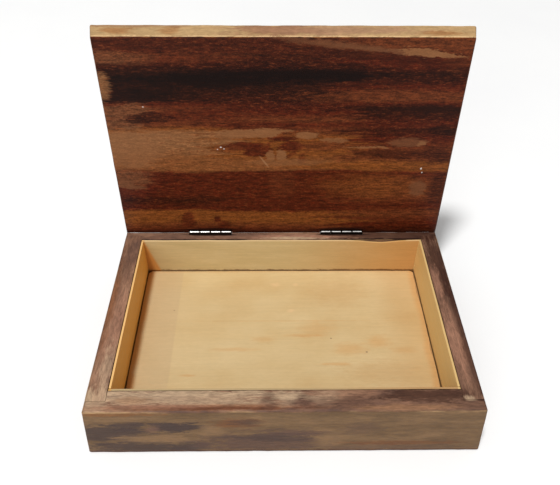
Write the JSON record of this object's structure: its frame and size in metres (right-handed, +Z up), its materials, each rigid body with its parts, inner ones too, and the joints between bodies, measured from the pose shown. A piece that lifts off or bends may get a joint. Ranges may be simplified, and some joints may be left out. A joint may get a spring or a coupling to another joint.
{
  "type": "hinged wooden money box",
  "caption": "Shallow rectangular wooden money box with a thick flat lid on small butt hinges and a tray lined with pale wood.",
  "frame": {"origin": "centre of the underside, on the face that the box stands on", "axes": "+X to the right seen from the front, +Y from the front to the hinges, +Z up; the lid is open at rest"},
  "size_m": [0.226, 0.1652, 0.1852],
  "materials": {
    "lid_wood": "red-brown stained and satin varnished, dark bands along the grain, paler worn front edge",
    "rail_wood": "grey-brown patchy stain under satin varnish, sanded arrises",
    "liner_wood": "thin pale wood, sealed, satin",
    "floor_wood": "pale close-grained panel, satin varnish",
    "bottom_wood": "bare plywood",
    "hinge_steel": "bright plated, slightly dulled",
    "screw_steel": "bright plated",
    "brad_steel": "plain wire nail"
  },
  "bodies": {
    "box": {"back_rail": "rail_wood", "bottom_brad_1": "brad_steel", "bottom_brad_2": "brad_steel", "bottom_brad_3": "brad_steel", "bottom_brad_4": "brad_steel", "bottom_brad_5": "brad_steel", "bottom_brad_6": "brad_steel", "bottom_brad_7": "brad_steel", "bottom_brad_8": "brad_steel", "bottom_panel": "bottom_wood", "floor_liner": "floor_wood", "front_rail": "rail_wood", "hinge_left_box_leaf": "hinge_steel", "hinge_left_box_screw_1": "screw_steel", "hinge_left_box_screw_2": "screw_steel", "hinge_left_pin": "hinge_steel", "hinge_right_box_leaf": "hinge_steel", "hinge_right_box_screw_1": "screw_steel", "hinge_right_box_screw_2": "screw_steel", "hinge_right_pin": "hinge_steel", "left_rail": "rail_wood", "liner_back": "liner_wood", "liner_front": "liner_wood", "liner_left": "liner_wood", "liner_right": "liner_wood", "right_rail": "rail_wood"},
    "lid": {"hinge_left_lid_leaf": "hinge_steel", "hinge_left_lid_screw_1": "screw_steel", "hinge_left_lid_screw_2": "screw_steel", "hinge_right_lid_leaf": "hinge_steel", "hinge_right_lid_screw_1": "screw_steel", "hinge_right_lid_screw_2": "screw_steel", "lid_panel": "lid_wood"}
  },
  "joints": [
    {"name": "lid_hinge", "type": "hinge", "parent": "box", "child": "lid", "pos_m": [0, 0.07525, 0.0374], "axis": [1, 0, 0], "range_deg": [0, 91]}
  ]
}
